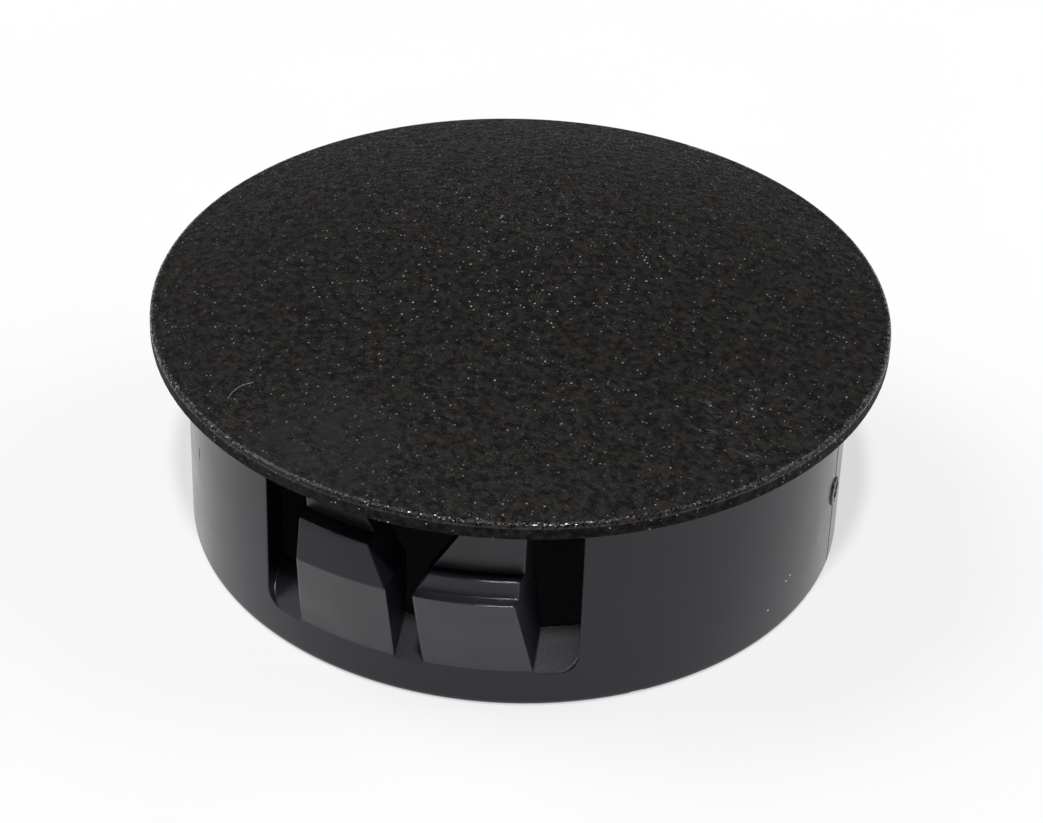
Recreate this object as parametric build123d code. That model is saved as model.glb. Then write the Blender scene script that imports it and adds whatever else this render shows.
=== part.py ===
from build123d import *
import os

# Snap-in nylon hole plug for a 30 mm panel hole, one moulded piece, in mm.
# Origin: centre of the head's underside, the plane that seats on the panel.
# +Z points out of the panel through the head; the two latch windows face -Y and +Y.

# Head
HEAD_D = 33.0            # across the rim
RIM_EDGE = 0.7           # thickness of the head at its edge
RIM_ROUND = 0.25         # rounding of the edge, top
DOME_RISE = 2.0          # height of the dome above the rim edge
CEILING_RISE = 1.0       # how far the hollow goes up into the dome

# Skirt
PANEL_HOLE_D = 30.0      # the hole the plug closes
HOLE_CLEARANCE = 0.2     # skirt to hole, on the diameter
SKIRT_WALL = 1.4
SKIRT_LENGTH = 10.2      # underside of the head to the open end
FOOT_ROUND = 0.3         # rounding of the open end, outside
FOOT_BREAK = 0.2         # broken edge of the open end, inside

# Latch windows, one on each side
WINDOW_WIDTH = 14.1
SILL_HEIGHT = 1.8        # open end to the lower edge of the window, outside
SILL_SLOPE_RISE = 1.5    # the sill climbs this much through the wall
WINDOW_TOP_GAP = 0.3     # band of skirt left between the window and the head
WINDOW_CORNER = 0.8

# Latch fingers, two in each window, standing on the foot ring
FINGER_ROOT_HEIGHT = 1.95    # where the lower ramp leaves the skirt
FINGER_TOP_GAP = 0.55        # free end to the underside of the head
BARB_HEIGHT = 6.45           # open end to the widest point
BARB_OVERHANG = 1.3          # how far the barb stands out of the skirt
FINGER_IN_ROOT = 0.65        # inner side to the window's centre line, at the root
FINGER_IN_BARB = 0.6         # the same at the barb
FINGER_OUT_ROOT = 5.24       # outer side to the centre line, at the root
FINGER_OUT_BARB = 4.8        # the same at the barb
SMOOTH_OUT_TOP = 5.0         # the same at the free end of the smooth finger
STEPPED_OUT_TOP = 4.8        # and of the stepped finger
FUNNEL_SLOPE = 0.62          # the inner sides part by this much for each mm of height

# Smooth finger: one return ramp, then a ledge and a neck inside the skirt's outline
RAMP_TOP_HEIGHT = 8.1
RAMP_SETBACK = 0.6
NECK_INSET = 0.15            # the neck's face lies this far inside the skirt's surface

# Stepped finger: two ledges with a riser between them
STEP_RISE = 0.75
STEP_ONE_DEPTH = 0.52
RISER_LEAN = 0.18
STEP_TWO_DEPTH = 0.6
UPPER_LEAN = 0.15

# Mould marks on the skirt
GATE_WIDTH = 0.7
GATE_HEIGHT = 1.2
GATE_PROUD = 0.12
GATE_ROOT = 0.8          # how deep the stub reaches into the wall
GATE_Z = -6.0

HEAD_R = HEAD_D / 2
SKIRT_R = (PANEL_HOLE_D - HOLE_CLEARANCE) / 2
BORE_R = SKIRT_R - SKIRT_WALL
FOOT_Z = -SKIRT_LENGTH
BARB_R = SKIRT_R + BARB_OVERHANG


def up(height):
    """Z of a height measured from the open end."""
    return FOOT_Z + height


def turned(points):
    """Solid of revolution from (radius, z) corners."""
    with BuildPart() as made:
        with BuildSketch(Plane.XZ):
            with BuildLine():
                Polyline(*points, close=True)
            make_face()
        revolve(axis=Axis.Z)
    return made.part


def across(points, depth):
    """Prism with (x, z) corners, running from the axis out through the -Y side."""
    with BuildPart() as made:
        with BuildSketch(Plane.XZ):
            with BuildLine():
                Polyline(*points, close=True)
            make_face()
        extrude(amount=depth)
    return made.part


def ball(rise, reach, top):
    """Sphere with its top at this height, and a cap of this rise at this reach from the axis."""
    radius = (reach ** 2 + rise ** 2) / (2 * rise)
    # The poles lie along X, clear of the cap, so the cap has an even surface.
    return Pos(0, 0, top - radius) * Rot(0, 90, 0) * Sphere(radius)


def drum(radius, low, high):
    """Plain cylinder on the axis, between two heights."""
    return Pos(0, 0, low) * Cylinder(
        radius, high - low, align=(Align.CENTER, Align.CENTER, Align.MIN)
    )


def at_circle(solid, radius, z):
    """The round edges with this radius at this height."""
    circles = solid.edges().filter_by(GeomType.CIRCLE)
    return [e for e in circles if abs(e.radius - radius) < 1e-4 and abs(e.center().Z - z) < 1e-4]


def shell():
    """Domed head and skirt, closed all round."""
    crown = RIM_EDGE + DOME_RISE
    head = drum(HEAD_R, 0, crown) & ball(DOME_RISE, HEAD_R, crown)
    head = fillet(at_circle(head, HEAD_R, RIM_EDGE), RIM_ROUND)
    skirt = drum(SKIRT_R, FOOT_Z, 0)
    skirt = fillet(at_circle(skirt, SKIRT_R, FOOT_Z), FOOT_ROUND)
    hollow = drum(BORE_R, FOOT_Z, CEILING_RISE) & ball(CEILING_RISE, BORE_R, CEILING_RISE)
    closed = head + skirt - hollow
    return chamfer(at_circle(closed, BORE_R, FOOT_Z), FOOT_BREAK)


def window():
    """The space cut through one side of the skirt."""
    side = WINDOW_WIDTH / 2
    low = up(SILL_HEIGHT)
    high = -WINDOW_TOP_GAP
    with BuildPart() as made:
        with BuildSketch(Plane.XZ):
            with BuildLine():
                Polyline((-side, low), (side, low), (side, high), (-side, high), close=True)
            make_face()
        extrude(amount=HEAD_R)
        fillet(made.edges().filter_by(Axis.Y).group_by(Axis.Z)[0], WINDOW_CORNER)
    sill_in = up(SILL_HEIGHT + SILL_SLOPE_RISE)
    sill = turned([(0, FOOT_Z), (SKIRT_R, FOOT_Z), (SKIRT_R, low), (BORE_R, sill_in), (0, sill_in)])
    return made.part - sill


def finger(profile, side, out_top):
    """One latch finger; side is -1 for the left of the window, +1 for the right."""
    top = -FINGER_TOP_GAP
    barb = up(BARB_HEIGHT)
    funnel = FINGER_IN_BARB + FUNNEL_SLOPE * (top - barb)
    outline = [
        (FINGER_IN_ROOT, FOOT_Z + FOOT_ROUND),
        (FINGER_OUT_ROOT, FOOT_Z + FOOT_ROUND),
        (FINGER_OUT_ROOT, up(FINGER_ROOT_HEIGHT)),
        (FINGER_OUT_BARB, barb),
        (out_top, top),
        (funnel, top),
        (FINGER_IN_BARB, barb),
        (FINGER_IN_ROOT, up(FINGER_ROOT_HEIGHT)),
    ]
    slab = across([(side * x, z) for x, z in outline], HEAD_R)
    return turned(profile) & slab


def smooth_finger():
    neck_r = SKIRT_R - NECK_INSET
    ramp_top = up(RAMP_TOP_HEIGHT)
    profile = root_profile() + [
        (BARB_R - RAMP_SETBACK, ramp_top),
        (neck_r, ramp_top),
        (neck_r, -FINGER_TOP_GAP),
        (BORE_R, -FINGER_TOP_GAP),
    ]
    return finger(profile, -1, SMOOTH_OUT_TOP)


def stepped_finger():
    riser_r = BARB_R - STEP_ONE_DEPTH
    riser_top_r = riser_r - RISER_LEAN
    upper_r = riser_top_r - STEP_TWO_DEPTH
    step_two = up(BARB_HEIGHT + STEP_RISE)
    profile = root_profile() + [
        (riser_r, up(BARB_HEIGHT)),
        (riser_top_r, step_two),
        (upper_r, step_two),
        (upper_r - UPPER_LEAN, -FINGER_TOP_GAP),
        (BORE_R, -FINGER_TOP_GAP),
    ]
    return finger(profile, 1, STEPPED_OUT_TOP)


def root_profile():
    return [
        (BORE_R, FOOT_Z + FOOT_ROUND),
        (SKIRT_R, FOOT_Z + FOOT_ROUND),
        (SKIRT_R, up(FINGER_ROOT_HEIGHT)),
        (BARB_R, up(BARB_HEIGHT)),
    ]


def gate_mark():
    """Low stub where the runner was broken off, on the parting line."""
    depth = GATE_ROOT + GATE_PROUD
    return Pos(SKIRT_R + GATE_PROUD, 0, GATE_Z) * Box(
        depth, GATE_WIDTH, GATE_HEIGHT, align=(Align.MAX, Align.CENTER, Align.CENTER)
    )


opening = window()
pair = smooth_finger() + stepped_finger()
plug = shell()
for turn in (0, 180):
    plug = plug - Rot(0, 0, turn) * opening
for turn in (0, 180):
    plug = plug + Rot(0, 0, turn) * pair
plug = plug + gate_mark()

os.makedirs("parts", exist_ok=True)
export_step(plug, "parts/hole_plug.step")
print("solids", len(plug.solids()), "volume", round(plug.volume, 1), plug.bounding_box())
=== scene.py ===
import math

import bpy
from mathutils import Matrix, Vector, noise


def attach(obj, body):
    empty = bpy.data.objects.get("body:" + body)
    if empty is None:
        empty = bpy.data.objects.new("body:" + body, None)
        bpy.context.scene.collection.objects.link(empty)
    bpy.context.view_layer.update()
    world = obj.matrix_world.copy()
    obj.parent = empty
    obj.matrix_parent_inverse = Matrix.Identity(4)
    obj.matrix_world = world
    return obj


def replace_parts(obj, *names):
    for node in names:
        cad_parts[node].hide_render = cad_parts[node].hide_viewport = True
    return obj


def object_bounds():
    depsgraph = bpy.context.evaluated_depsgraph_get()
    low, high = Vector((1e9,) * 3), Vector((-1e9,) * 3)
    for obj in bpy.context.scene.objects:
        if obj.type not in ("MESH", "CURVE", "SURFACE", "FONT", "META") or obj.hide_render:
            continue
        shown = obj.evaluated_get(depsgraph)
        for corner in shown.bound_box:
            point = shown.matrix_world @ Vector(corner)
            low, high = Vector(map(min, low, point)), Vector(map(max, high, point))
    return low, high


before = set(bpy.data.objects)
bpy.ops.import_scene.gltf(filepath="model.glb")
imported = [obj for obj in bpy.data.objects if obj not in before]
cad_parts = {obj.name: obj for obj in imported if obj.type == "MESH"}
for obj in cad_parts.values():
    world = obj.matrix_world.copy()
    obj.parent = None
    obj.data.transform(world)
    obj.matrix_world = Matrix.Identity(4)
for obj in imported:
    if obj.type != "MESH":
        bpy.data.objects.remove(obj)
CAD_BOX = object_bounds()

MM = 0.001

# Camera, aimed from in front of one latch window and a little to its right
VIEW_AZIMUTH = math.radians(16.8)
VIEW_ELEVATION = math.radians(33.12)
VIEW_DISTANCE = 139.97 * MM
VIEW_LENS = 108.16
VIEW_TILT = math.radians(1.997)
VIEW_PAN = math.radians(0.071)
VIEW_ROLL = math.radians(-1.914)
RIM_TOP = 0.7 * MM

# Sizes of the plug that the finish follows, in mm
SKIRT_R = 14.9
BORE_R = 13.5
HEAD_R = 16.5
RIM_EDGE = 0.7
RIM_ROUND = 0.25
CROWN = 2.7
FINGER_HALF = 5.4
FINGER_TOP = -0.55
FINGER_ROOT = -8.25
SILL_LOW = -8.45
SILL_HIGH = -6.85
EDGE_ROUND = 0.12
GATE_Z = -6.0
GATE_HALF_WIDTH = 0.35
GATE_HALF_HEIGHT = 0.6
SCAR_HALF_WIDTH = 0.62
SCAR_HALF_HEIGHT = 0.72
TEAR_UPPER = (14.9, 0.08, -5.75)
TEAR_UPPER_REACH = 0.50
TEAR_LOWER = (14.9, 0.05, -6.52)
TEAR_LOWER_REACH = 0.32
LINT_THICKNESS = 0.022

# Wear on the head: a rubbed patch at its front left, and scuffs at its right
RUBBED = (-4.3, -13.9, 1.1)
RUBBED_REACH = 4.4
SCUFFED = (12.2, -6.9, 1.2)
SCUFFED_REACH = 4.2

# Dust on the skirt, and a nick in it to the left of the front window
DUST = ((14.78, -1.91, -7.26), (14.05, -4.96, -7.69), (14.15, -4.67, -7.54), (13.6, -6.1, -8.6))
DUST_SIZE = 0.07
NICK = (-11.97, -8.88, -4.6)
NICK_WIDTH = 0.09
NICK_LENGTH = 0.45


def place_camera():
    data = bpy.data.cameras.new("camera")
    data.lens = VIEW_LENS
    data.sensor_width = 36
    data.clip_start = 5 * MM
    camera = bpy.data.objects.new("camera", data)
    bpy.context.scene.collection.objects.link(camera)
    target = Vector((0, 0, RIM_TOP))
    place = Matrix.Translation(target + direction(VIEW_AZIMUTH, VIEW_ELEVATION) * VIEW_DISTANCE)
    aim = Matrix.Rotation(VIEW_AZIMUTH, 4, "Z") @ Matrix.Rotation(math.pi / 2 - VIEW_ELEVATION, 4, "X")
    trim = (
        Matrix.Rotation(-VIEW_PAN, 4, "Y")
        @ Matrix.Rotation(-VIEW_TILT, 4, "X")
        @ Matrix.Rotation(-VIEW_ROLL, 4, "Z")
    )
    camera.matrix_world = place @ aim @ trim
    bpy.context.scene.camera = camera


def direction(azimuth, elevation):
    """Unit vector towards an azimuth, measured from -Y towards +X, and an elevation."""
    return Vector((
        math.sin(azimuth) * math.cos(elevation),
        -math.cos(azimuth) * math.cos(elevation),
        math.sin(elevation),
    ))


class Nodes:
    """Short calls for building a node tree."""

    def __init__(self, owner):
        owner.use_nodes = True
        self.tree = owner.node_tree
        self.tree.nodes.clear()

    def add(self, kind, **settings):
        node = self.tree.nodes.new(kind)
        for name, value in settings.items():
            setattr(node, name, value)
        return node

    def link(self, source, target):
        self.tree.links.new(source, target)

    def feed(self, socket, value):
        if isinstance(value, bpy.types.NodeSocket):
            self.link(value, socket)
        else:
            socket.default_value = value

    def math(self, operation, a, b=0.0, c=0.0):
        node = self.add("ShaderNodeMath", operation=operation)
        for socket, value in zip(node.inputs, (a, b, c)):
            self.feed(socket, value)
        return node.outputs[0]

    def vector(self, operation, a, b=(0, 0, 0), scale=None):
        node = self.add("ShaderNodeVectorMath", operation=operation)
        self.feed(node.inputs[0], a)
        self.feed(node.inputs[1], b)
        if scale is not None:
            self.feed(node.inputs["Scale"], scale)
        return node.outputs[0]

    def ramp(self, value, low, high, out_low=0.0, out_high=1.0, smooth=True):
        node = self.add("ShaderNodeMapRange", interpolation_type="SMOOTHSTEP" if smooth else "LINEAR")
        for socket, v in zip(node.inputs, (value, low, high, out_low, out_high)):
            self.feed(socket, v)
        return node.outputs[0]

    def noise(self, at, scale, detail=2.0, roughness=0.5, distortion=0.0):
        node = self.add("ShaderNodeTexNoise")
        self.feed(node.inputs["Vector"], at)
        node.inputs["Scale"].default_value = scale
        node.inputs["Detail"].default_value = detail
        node.inputs["Roughness"].default_value = roughness
        node.inputs["Distortion"].default_value = distortion
        return node.outputs[0]

    def cells(self, at, scale):
        node = self.add("ShaderNodeTexVoronoi")
        self.feed(node.inputs["Vector"], at)
        node.inputs["Scale"].default_value = scale
        return node

    def mix(self, factor, a, b):
        node = self.add("ShaderNodeMix", data_type="FLOAT")
        self.feed(node.inputs[0], factor)
        self.feed(node.inputs[2], a)
        self.feed(node.inputs[3], b)
        return node.outputs[0]

    def mix_colour(self, factor, a, b):
        node = self.add("ShaderNodeMix", data_type="RGBA")
        self.feed(node.inputs[0], factor)
        self.feed(node.inputs[6], a)
        self.feed(node.inputs[7], b)
        return node.outputs[2]


HEAD_WARM = (0.0076, 0.0059, 0.0051, 1)
HEAD_COOL = (0.0056, 0.0062, 0.0053, 1)
SKIRT_COLOUR = (0.0036, 0.0050, 0.0115, 1)
FINGER_COLOUR = (0.0085, 0.0095, 0.0150, 1)
# Pale colour for the painted glints on the head and for the real dust specks on the skirt
GLINT_AND_DUST_COLOUR = (0.70, 0.70, 0.68, 1)
SCUFF_COLOUR = (0.060, 0.060, 0.062, 1)
RUBBED_COLOUR = (0.0140, 0.0142, 0.0146, 1)
TORN_DARK = (0.0045, 0.0045, 0.0050, 1)
TORN_PALE = (0.42, 0.42, 0.43, 1)
LINT_COLOUR = (0.30, 0.31, 0.30, 1)


def start_material(name):
    """An empty node tree with the place on the plug in mm, and its distance from the axis."""
    material = bpy.data.materials.new(name)
    n = Nodes(material)
    at = n.vector("SCALE", n.add("ShaderNodeTexCoord").outputs["Object"], scale=1 / MM)
    return material, n, at


def finish_material(n, colour, roughness, normal, specular):
    shader = n.add("ShaderNodeBsdfPrincipled")
    n.feed(shader.inputs["Base Color"], colour)
    n.feed(shader.inputs["Roughness"], roughness)
    shader.inputs["IOR"].default_value = 1.5
    shader.inputs["Specular IOR Level"].default_value = specular
    n.link(normal, shader.inputs["Normal"])
    n.link(shader.outputs[0], n.add("ShaderNodeOutputMaterial").inputs[0])


def bump(n, height, distance, normal=None):
    node = n.add("ShaderNodeBump")
    node.inputs["Strength"].default_value = 1.0
    node.inputs["Distance"].default_value = distance
    n.link(height, node.inputs["Height"])
    if normal is not None:
        n.link(normal, node.inputs["Normal"])
    return node.outputs[0]


def near(n, at, centre, reach):
    """1 at a place on the plug, in mm, falling to 0 at this reach from it."""
    distance = n.add("ShaderNodeVectorMath", operation="DISTANCE")
    n.link(at, distance.inputs[0])
    distance.inputs[1].default_value = centre
    return n.ramp(distance.outputs["Value"], 0.25 * reach, reach, 1, 0)


def off_axis(n, at):
    """Distance from the plug's axis, in the units of the place."""
    length = n.add("ShaderNodeVectorMath", operation="LENGTH")
    n.link(n.vector("MULTIPLY", at, (1, 1, 0)), length.inputs[0])
    return length.outputs["Value"]


def cell_luck(n, cells):
    """The random number that belongs to each cell."""
    parts = n.add("ShaderNodeSeparateColor")
    n.link(cells.outputs["Color"], parts.inputs[0])
    return parts.outputs[0]


def eroded_grain(name, specular, relief, lean, facets, facet_roughness, outer=1.0):
    """Spark-eroded surface: fine pits with painted shade in them, and small smooth faces with painted
    glints (pale dots in the colour) between them.

    Both fall from full strength at the head's middle to the outer share of it towards the rim.
    Relief is in mm, lean is how far the smooth faces tilt, facets is their size within a cell.
    """
    material, n, at = start_material(name)
    wander = n.ramp(n.noise(at, 0.9, 2.0, 0.6), 0.35, 0.65, 0.2, 1.0)
    rubbed = n.math("MULTIPLY", near(n, at, RUBBED, RUBBED_REACH), wander)
    coarse = n.noise(at, 2.8, 1.0, 0.5, 0.3)
    fine = n.noise(at, 8.0, 1.0, 0.5)
    height = n.math("ADD", coarse, n.math("MULTIPLY", fine, 0.25))
    calm = n.mix(rubbed, 1.0, 0.35)
    normal = bump(n, n.math("MULTIPLY", height, calm), relief * MM)

    cells = n.cells(at, 10.0)
    spread = n.add("ShaderNodeVectorMath", operation="MULTIPLY_ADD")
    n.link(cells.outputs["Color"], spread.inputs[0])
    spread.inputs[1].default_value = (2 * lean, 2 * lean, 2 * lean)
    spread.inputs[2].default_value = (-lean, -lean, -lean)
    geometry = n.add("ShaderNodeNewGeometry")
    facet_normal = n.vector("NORMALIZE", n.vector("ADD", geometry.outputs["Normal"], spread.outputs[0]))
    thinning = n.ramp(off_axis(n, at), 3.0, 11.0, 1.0, outer)
    lively = n.math("MULTIPLY", calm, thinning)
    facet = n.math("MULTIPLY", n.ramp(cells.outputs["Distance"], facets, facets + 0.15, 1, 0), lively)
    blend = n.add("ShaderNodeMix", data_type="VECTOR")
    n.link(facet, blend.inputs[0])
    n.link(normal, blend.inputs[4])
    n.link(facet_normal, blend.inputs[5])
    normal = n.vector("NORMALIZE", blend.outputs[1])
    roughness = n.mix(facet, 0.62, facet_roughness)

    # Painted glints: pale dots in the colour stand in for light sparkling off the grain, more on its
    # ridges and fewer towards the rim
    glint_cells = n.cells(at, 5.5)
    glint_dot = n.ramp(glint_cells.outputs["Distance"], 0.08, 0.28, 1, 0)
    strength = n.math("POWER", n.ramp(cell_luck(n, glint_cells), 0.57, 1.0, 0.0, 1.0, smooth=False), 2.4)
    ridge = n.ramp(coarse, 0.42, 0.55, 0.45, 1.0)
    glint_and_dust_speck = n.math("MULTIPLY", n.math("MULTIPLY", glint_dot, strength), n.math("MULTIPLY", ridge, lively))

    hue = n.ramp(n.noise(at, 0.7, 2.0, 0.7), 0.40, 0.60)
    base = n.mix_colour(hue, HEAD_WARM, HEAD_COOL)
    # Painted shade and light: the colour is darkened in the grain's pits and lightened on its tops
    pits = n.ramp(height, 0.48, 0.78, 0.2, 2.2, smooth=False)
    base = n.vector("SCALE", base, scale=pits)
    base = n.mix_colour(n.math("MULTIPLY", rubbed, 0.8), base, RUBBED_COLOUR)
    streaks = n.noise(n.vector("MULTIPLY", at, (0.7, 2.4, 1.0)), 1.6, 3.0, 0.7, 1.5)
    scuff = n.math("MULTIPLY", n.ramp(streaks, 0.585, 0.66), near(n, at, SCUFFED, SCUFFED_REACH))
    base = n.mix_colour(n.math("MULTIPLY", scuff, 0.9), base, SCUFF_COLOUR)
    colour = n.mix_colour(glint_and_dust_speck, base, GLINT_AND_DUST_COLOUR)
    finish_material(n, colour, roughness, normal, specular)
    return material


def satin_skin(name, base, specular, roughness, scratch):
    """Moulded faces from a smoother tool: a faint drag along the draw, and edges a little rounded."""
    material, n, at = start_material(name)
    rounded = n.add("ShaderNodeBevel", samples=4)
    rounded.inputs["Radius"].default_value = EDGE_ROUND * MM
    drag = n.noise(n.vector("MULTIPLY", at, (1, 1, 0.12)), 5.0, 2.0, 0.6)
    fine = n.noise(at, 9.0, 2.0, 0.6)
    height = n.math("ADD", drag, fine)
    normal = bump(n, height, scratch, rounded.outputs[0])

    axes = n.add("ShaderNodeSeparateXYZ")
    n.link(at, axes.inputs[0])
    off_line = n.math("ABSOLUTE", axes.outputs[1])
    outside = n.ramp(n.math("ABSOLUTE", axes.outputs[0]), BORE_R + 0.5, SKIRT_R - 0.3)
    line = n.math("MULTIPLY", n.ramp(off_line, 0.03, 0.10, 1, 0), outside)
    normal = bump(n, line, 0.03 * MM, normal)

    blotch = n.noise(at, 0.4, 2.0, 0.6)
    rough = n.ramp(blotch, 0.3, 0.7, roughness - 0.03, roughness + 0.03)
    geometry = n.add("ShaderNodeNewGeometry")
    turn = n.add("ShaderNodeVectorMath", operation="DOT_PRODUCT")
    n.link(rounded.outputs[0], turn.inputs[0])
    n.link(geometry.outputs["Normal"], turn.inputs[1])
    edge = n.ramp(turn.outputs["Value"], 0.90, 0.99, 1, 0)
    rough = n.mix(edge, rough, 0.14)
    rough = n.mix(line, rough, 0.85)

    dust = 0.0
    for glint_and_dust_speck in DUST:
        dust = n.math("MAXIMUM", near(n, at, glint_and_dust_speck, DUST_SIZE), dust)
    squash = (1, 1, NICK_WIDTH / NICK_LENGTH)
    middle = [a * b for a, b in zip(NICK, squash)]
    nick = near(n, n.vector("MULTIPLY", at, squash), middle, NICK_WIDTH)
    rough = n.mix(nick, rough, 0.9)
    colour = n.vector("SCALE", base[:3], scale=n.ramp(fine, 0.3, 0.7, 0.85, 1.15, smooth=False))
    colour = n.mix_colour(n.math("MAXIMUM", line, nick), colour, TORN_DARK)
    colour = n.mix_colour(dust, colour, GLINT_AND_DUST_COLOUR)
    finish_material(n, colour, rough, normal, specular)
    return material


def torn_nylon():
    """The broken gate: dull and dark where the nylon tore, whitened along the lip it was pulled by."""
    material, n, at = start_material("nylon_torn")
    grain = n.noise(at, 6.0, 3.0, 0.65)
    wander = n.vector("SUBTRACT", n.noise(at, 4.0), (0.5, 0.5, 0.5))
    ragged = n.vector("ADD", at, n.vector("SCALE", wander, scale=0.5))
    upper = near(n, ragged, TEAR_UPPER, TEAR_UPPER_REACH)
    lower = near(n, ragged, TEAR_LOWER, TEAR_LOWER_REACH)
    torn = n.ramp(n.math("MAXIMUM", upper, lower), 0.05, 0.25)
    proud = n.math("ADD", n.math("SUBTRACT", off_axis(n, at), SKIRT_R), n.math("MULTIPLY", grain, 0.03))
    stretched = n.ramp(proud, 0.07, 0.11)
    colour = n.mix_colour(stretched, SKIRT_COLOUR, TORN_PALE)
    colour = n.mix_colour(torn, colour, TORN_DARK)
    roughness = n.mix(torn, 0.30, n.mix(grain, 0.7, 0.95))
    strength = n.mix(torn, 0.1, 1.0)
    finish_material(n, colour, roughness, bump(n, n.math("MULTIPLY", grain, strength), 0.10 * MM), 0.40)
    return material


def lint_fibre():
    material, n, at = start_material("lint_fibre")
    weave = n.noise(at, 14.0, 2.0, 0.6)
    colour = n.vector("SCALE", LINT_COLOUR[:3], scale=n.ramp(weave, 0.3, 0.7, 0.6, 1.2))
    finish_material(n, colour, n.mix(weave, 0.6, 0.8), bump(n, weave, 0.004 * MM), 0.3)
    return material


def paint_floor():
    """Pale paper that keeps the plug's shadow, and is nearly white to the eye and in reflections."""
    material = bpy.data.materials.new("pale_floor")
    n = Nodes(material)
    place = n.add("ShaderNodeTexCoord").outputs["Object"]
    paper = n.ramp(n.noise(place, 60.0, 2.0), 0.3, 0.7, 0.86, 0.88)
    matt = n.add("ShaderNodeBsdfDiffuse")
    n.link(paper, matt.inputs["Color"])
    white = n.add("ShaderNodeEmission")
    # Under the plug, inside its hollow, the paper is seen only by the light that falls on it.
    outside = n.ramp(off_axis(n, place), (SKIRT_R - 0.8) * MM, (SKIRT_R - 0.1) * MM)
    path = n.add("ShaderNodeLightPath")
    seen = n.math("MAXIMUM", path.outputs["Is Camera Ray"], path.outputs["Is Glossy Ray"])
    seen = n.math("MAXIMUM", seen, path.outputs["Is Transmission Ray"])
    share = n.math("MULTIPLY", n.math("MULTIPLY", seen, outside), 0.6)
    both = n.add("ShaderNodeMixShader")
    n.link(share, both.inputs[0])
    n.link(matt.outputs[0], both.inputs[1])
    n.link(white.outputs[0], both.inputs[2])
    out = n.add("ShaderNodeOutputMaterial")
    n.link(both.outputs[0], out.inputs[0])
    return material


def make_floor():
    half = 3.0
    z = CAD_BOX[0].z
    mesh = bpy.data.meshes.new("floor")
    corners = [(-half, -half, z), (half, -half, z), (half, half, z), (-half, half, z)]
    mesh.from_pydata(corners, [], [(0, 1, 2, 3)])
    mesh.materials.append(paint_floor())
    floor = bpy.data.objects.new("floor", mesh)
    bpy.context.scene.collection.objects.link(floor)


def sun(name, azimuth, elevation, strength, spread):
    """A distant lamp; its azimuth is in degrees from the camera's, positive to the right."""
    data = bpy.data.lights.new(name, "SUN")
    data.energy = strength
    data.angle = math.radians(spread)
    lamp = bpy.data.objects.new(name, data)
    bpy.context.scene.collection.objects.link(lamp)
    towards = direction(VIEW_AZIMUTH + math.radians(azimuth), math.radians(elevation))
    lamp.rotation_mode = "QUATERNION"
    lamp.rotation_quaternion = towards.to_track_quat("Z", "Y")


def light():
    sun("key", azimuth=-3, elevation=68, strength=1.9, spread=5)
    sun("left", azimuth=-104, elevation=48, strength=1.3, spread=40)
    sun("right", azimuth=100, elevation=40, strength=0.95, spread=40)
    world = bpy.data.worlds.new("studio")
    bpy.context.scene.world = world
    n = Nodes(world)
    up = n.add("ShaderNodeSeparateXYZ")
    n.link(n.add("ShaderNodeTexCoord").outputs["Generated"], up.inputs[0])
    tone = n.ramp(up.outputs[2], 0.02, 0.30, 0.35, 0.07)
    background = n.add("ShaderNodeBackground")
    n.link(tone, background.inputs["Color"])
    out = n.add("ShaderNodeOutputWorld")
    n.link(background.outputs[0], out.inputs[0])


def show(name, mesh):
    """A piece of the finish that moves with the plug."""
    piece = bpy.data.objects.new(name, mesh)
    bpy.context.scene.collection.objects.link(piece)
    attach(piece, "root")
    return piece


SATIN, GRAINED, MATT, RIM, RIM_SIDE = range(5)


def zone(face):
    """Which finish a face of the plug has."""
    x, y, z = (c / MM for c in face.center)
    radius = math.hypot(x, y)
    if z > 0.05 and (face.normal.z > 0 or radius > SKIRT_R + 0.5):
        if z < RIM_EDGE - RIM_ROUND:
            return RIM_SIDE
        return RIM if radius > HEAD_R - RIM_ROUND - 0.05 else GRAINED
    # The bore's long triangles reach past the fingers, so none of them takes the fingers' finish.
    if radius < BORE_R + 0.05:
        return SATIN
    on_finger = abs(x) < FINGER_HALF and FINGER_ROOT - 0.01 < z < FINGER_TOP + 0.05
    on_sill = face.normal.z > 0.3 and SILL_LOW < z < SILL_HIGH
    return MATT if on_finger or on_sill else SATIN


def dress_plug():
    """A copy of the plug's skin with a finish for each zone, which stands for the CAD node."""
    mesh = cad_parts["hole_plug"].data.copy()
    mesh.materials.clear()
    finishes = {
        SATIN: satin_skin("nylon_satin", SKIRT_COLOUR, specular=0.41, roughness=0.22, scratch=0.0012 * MM),
        GRAINED: eroded_grain(
            "nylon_grained", specular=0.20, relief=0.09, lean=0.80,
            facets=0.29, facet_roughness=0.24, outer=0.55,
        ),
        MATT: satin_skin("nylon_matt", FINGER_COLOUR, specular=0.54, roughness=0.42, scratch=0.004 * MM),
        RIM: eroded_grain(
            "nylon_rim", specular=0.42, relief=0.05, lean=0.22, facets=0.50, facet_roughness=0.19
        ),
        RIM_SIDE: eroded_grain(
            "nylon_rim_side", specular=0.07, relief=0.05, lean=0.30, facets=0.20, facet_roughness=0.50
        ),
    }
    for index in sorted(finishes):
        mesh.materials.append(finishes[index])
    for face in mesh.polygons:
        face.material_index = zone(face)
    # The plain stub's end goes under the skin, out of the way of the torn scar.
    for vertex in mesh.vertices:
        x, y, z = (c / MM for c in vertex.co)
        on_stub = abs(y) < GATE_HALF_WIDTH + 0.02 and abs(z - GATE_Z) < GATE_HALF_HEIGHT + 0.02
        if on_stub and x > SKIRT_R + 0.02:
            vertex.co.x = (SKIRT_R - 0.5) * MM
    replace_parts(show("plug_moulding", mesh), "hole_plug")


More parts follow.
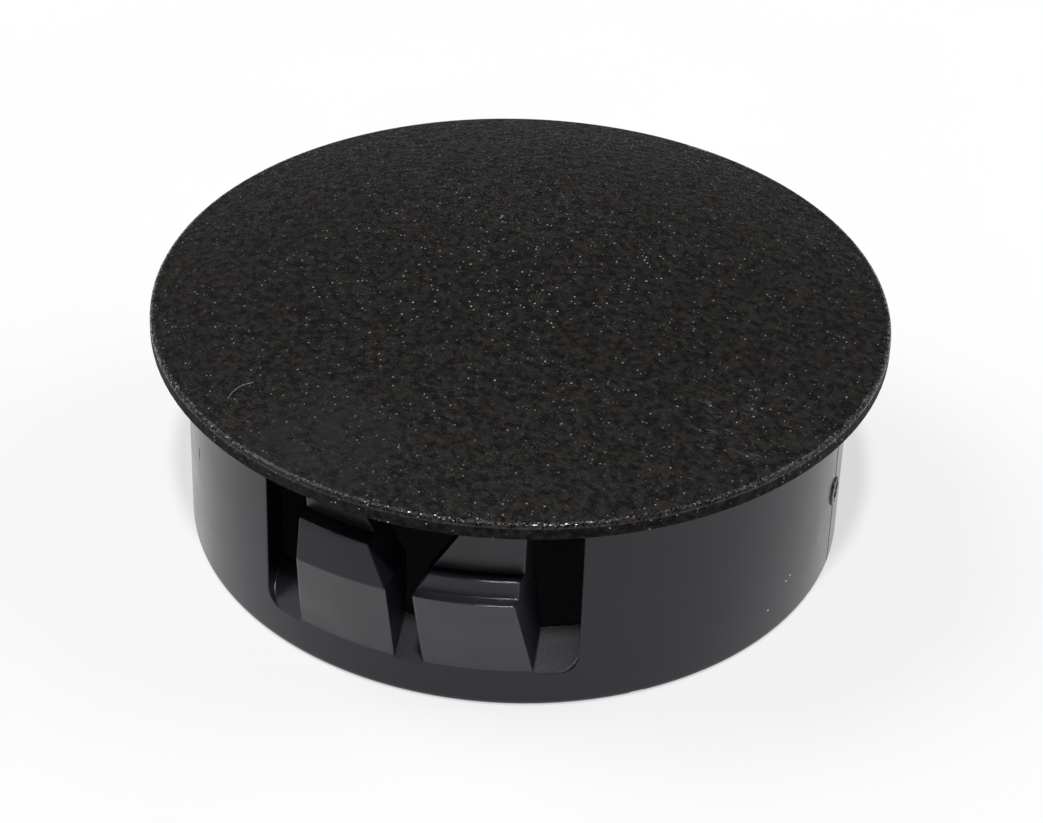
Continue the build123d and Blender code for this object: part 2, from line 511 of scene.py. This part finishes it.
def torn_height(y, z):
    """How far the torn gate stands out of the skirt, in mm; y and z from its middle."""
    around = math.hypot(y / SCAR_HALF_WIDTH, z / SCAR_HALF_HEIGHT)
    wander = 0.10 * noise.noise(Vector((y * 3, z * 3, 1.7)))
    inside = 1 - around + wander
    lip = 0.09 * math.exp(-((inside - 0.16) / 0.10) ** 2) * (1 if y < 0.1 else 0.4)
    y_up, z_up = y - TEAR_UPPER[1], z + GATE_Z - TEAR_UPPER[2]
    y_low, z_low = y - TEAR_LOWER[1], z + GATE_Z - TEAR_LOWER[2]
    pits = 0.16 * math.exp(-((y_up ** 2 + z_up ** 2) / (TEAR_UPPER_REACH / 2) ** 2))
    pits += 0.12 * math.exp(-((y_low ** 2 + z_low ** 2) / (TEAR_LOWER_REACH / 2) ** 2))
    rough = 0.05 * noise.fractal(Vector((y * 6, z * 6, 4.2)), 0.6, 2.0, 4)
    return -0.02 + max(0, min(1, inside / 0.08)) * (min(0.035 + lip - pits + rough, 0.115) + 0.02)


def tear_gate():
    """The scar where the runner was broken off, in place of the plain stub."""
    rows, columns = 49, 33
    half_height = 1.12 * SCAR_HALF_HEIGHT
    half_width = 1.12 * SCAR_HALF_WIDTH
    points = []
    for row in range(rows):
        z = half_height * (2 * row / (rows - 1) - 1)
        for column in range(columns):
            y = half_width * (2 * column / (columns - 1) - 1)
            radius = SKIRT_R + torn_height(y, z)
            points.append((math.sqrt(radius ** 2 - y ** 2) * MM, y * MM, (GATE_Z + z) * MM))
    faces = []
    for row in range(rows - 1):
        for column in range(columns - 1):
            a = row * columns + column
            faces.append((a, a + 1, a + columns + 1, a + columns))
    mesh = bpy.data.meshes.new("gate_scar")
    mesh.from_pydata(points, [], faces)
    mesh.materials.append(torn_nylon())
    mesh.polygons.foreach_set("use_smooth", [True] * len(faces))
    show("gate_scar", mesh)


def on_dome(x, y):
    """Height of the head's surface in mm."""
    rise = CROWN - RIM_EDGE
    radius = (HEAD_R ** 2 + rise ** 2) / (2 * rise)
    return CROWN - radius + math.sqrt(radius ** 2 - x ** 2 - y ** 2)


def lay_lint():
    """A short curled fibre lying on the head."""
    curve = bpy.data.curves.new("lint_curve", "CURVE")
    curve.dimensions = "3D"
    curve.bevel_depth = LINT_THICKNESS / 2 * MM
    curve.bevel_resolution = 2
    curve.use_fill_caps = True
    route = ((-9.23, -11.92), (-9.17, -11.55), (-9.02, -11.22), (-8.76, -11.00), (-8.45, -10.87))
    spline = curve.splines.new("POLY")
    steps = 24
    spline.points.add(steps)
    for i in range(steps + 1):
        along = i / steps * (len(route) - 1)
        start = min(int(along), len(route) - 2)
        part = along - start
        x, y = (a + (b - a) * part for a, b in zip(route[start], route[start + 1]))
        z = on_dome(x, y) + LINT_THICKNESS * (0.6 + 3 * (i / steps) ** 2)
        spline.points[i].co = (x * MM, y * MM, z * MM, 1)
    fibre = bpy.data.objects.new("lint_route", curve)
    mesh = bpy.data.meshes.new_from_object(fibre)
    bpy.data.objects.remove(fibre)
    mesh.materials.clear()
    mesh.materials.append(lint_fibre())
    show("lint", mesh)


place_camera()
make_floor()
light()
dress_plug()
tear_gate()
lay_lint()

bpy.context.scene.view_settings.view_transform = "Standard"
